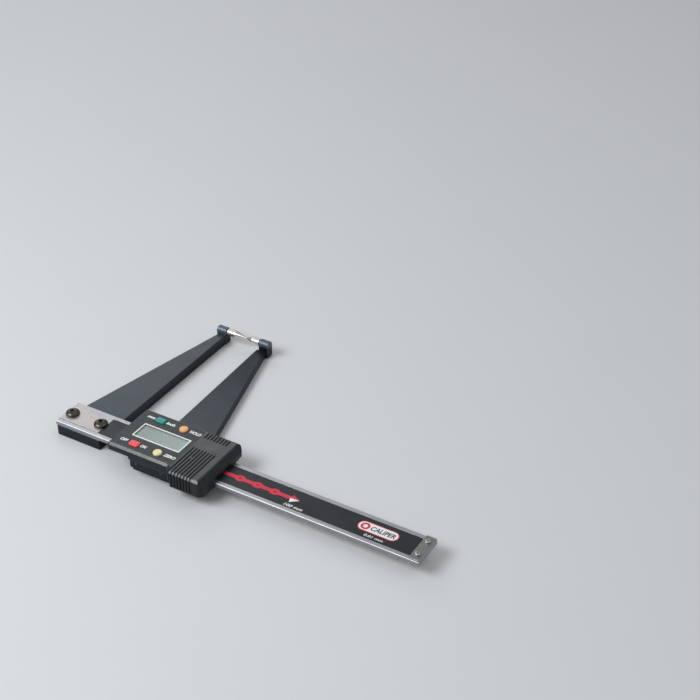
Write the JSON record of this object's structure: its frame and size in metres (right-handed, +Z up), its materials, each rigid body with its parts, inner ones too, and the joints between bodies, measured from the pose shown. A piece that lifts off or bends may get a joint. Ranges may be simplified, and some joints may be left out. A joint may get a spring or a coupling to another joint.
{
  "type": "digital caliper",
  "caption": "Digital caliper with a display slider on a flat steel beam and two long tapered jaws ending in facing pointed anvils.",
  "frame": {"origin": "centre of the bounding box from above, on the plane of the jaws' undersides", "axes": "+X along the beam from the fixed-jaw end to the stop plate, +Y from the beam towards the jaw tips, +Z up out of the display face"},
  "size_m": [0.277, 0.1678, 0.0214],
  "materials": {
    "satin_stainless": "satin ground hardened stainless steel",
    "ground_steel": "polished hardened steel",
    "black_anodised": "dark blue-grey anodised aluminium, bead blasted",
    "black_oxide": "black oxide",
    "zinc_steel": "bright zinc plate",
    "black_abs": "fine moulded texture",
    "face_film": "satin printed film",
    "label_film": "satin printed film",
    "green_board": "glass-epoxy laminate with solder mask",
    "brass": "drawn brass strip",
    "clear_lens": "clear acrylic window",
    "display_glass": "liquid-crystal cell, grey-green reflective",
    "black_rubber": "layered conductive rubber",
    "cell_steel": "nickel-plated spring steel",
    "teal_plastic": "moulded, semi-gloss",
    "orange_plastic": "moulded, semi-gloss",
    "red_plastic": "moulded, semi-gloss",
    "yellow_plastic": "moulded, semi-gloss"
  },
  "bodies": {
    "beam_assembly": {"beam": "satin_stainless", "scale_strip": "green_board", "label_strip": "label_film", "fixed_jaw": "black_anodised", "jaw_screw_1": "black_oxide", "jaw_screw_2": "black_oxide", "fixed_anvil": "ground_steel", "fixed_anvil_setscrew": "black_oxide", "stop_plate": "zinc_steel", "stop_screw_1": "zinc_steel", "stop_screw_2": "zinc_steel"},
    "slider": {"battery": "cell_steel", "battery_contact_minus": "cell_steel", "battery_contact_plus": "cell_steel", "circuit_board": "green_board", "cover_screw_1": "zinc_steel", "cover_screw_2": "zinc_steel", "cover_screw_3": "zinc_steel", "cover_screw_4": "zinc_steel", "display_cell": "display_glass", "display_connector_far": "black_rubber", "display_connector_near": "black_rubber", "display_window": "clear_lens", "face_plate": "face_film", "front_cover": "black_abs", "gib_screw_1": "black_oxide", "gib_screw_2": "black_oxide", "gib_strip": "brass", "hold_dome": "cell_steel", "jaw_bolt_1": "black_oxide", "jaw_bolt_2": "black_oxide", "jaw_bolt_3": "black_oxide", "jaw_bolt_4": "black_oxide", "moving_anvil": "ground_steel", "moving_anvil_setscrew": "black_oxide", "moving_jaw": "black_anodised", "power_dome": "cell_steel", "slider_frame": "black_anodised", "unit_dome": "cell_steel", "zero_dome": "cell_steel"},
    "unit_button": {"unit_button": "teal_plastic"},
    "hold_button": {"hold_button": "orange_plastic"},
    "power_button": {"power_button": "red_plastic"},
    "zero_button": {"zero_button": "yellow_plastic"},
    "battery_door": {"battery_door": "black_abs"}
  },
  "joints": [
    {"name": "slider_slide", "type": "slide", "parent": "beam_assembly", "child": "slider", "axis": [1, 0, 0], "range_m": [0, 0.139]},
    {"name": "unit_button_press", "type": "slide", "parent": "slider", "child": "unit_button", "axis": [0, 0, -1], "range_m": [0, 0.0005], "stiffness_N_per_m": 800, "springref_m": -0.001},
    {"name": "hold_button_press", "type": "slide", "parent": "slider", "child": "hold_button", "axis": [0, 0, -1], "range_m": [0, 0.0005], "stiffness_N_per_m": 800, "springref_m": -0.001},
    {"name": "power_button_press", "type": "slide", "parent": "slider", "child": "power_button", "axis": [0, 0, -1], "range_m": [0, 0.0005], "stiffness_N_per_m": 800, "springref_m": -0.001},
    {"name": "zero_button_press", "type": "slide", "parent": "slider", "child": "zero_button", "axis": [0, 0, -1], "range_m": [0, 0.0005], "stiffness_N_per_m": 800, "springref_m": -0.001},
    {"name": "battery_door_slide", "type": "slide", "parent": "slider", "child": "battery_door", "axis": [1, 0, 0], "range_m": [0, 0.018]}
  ]
}
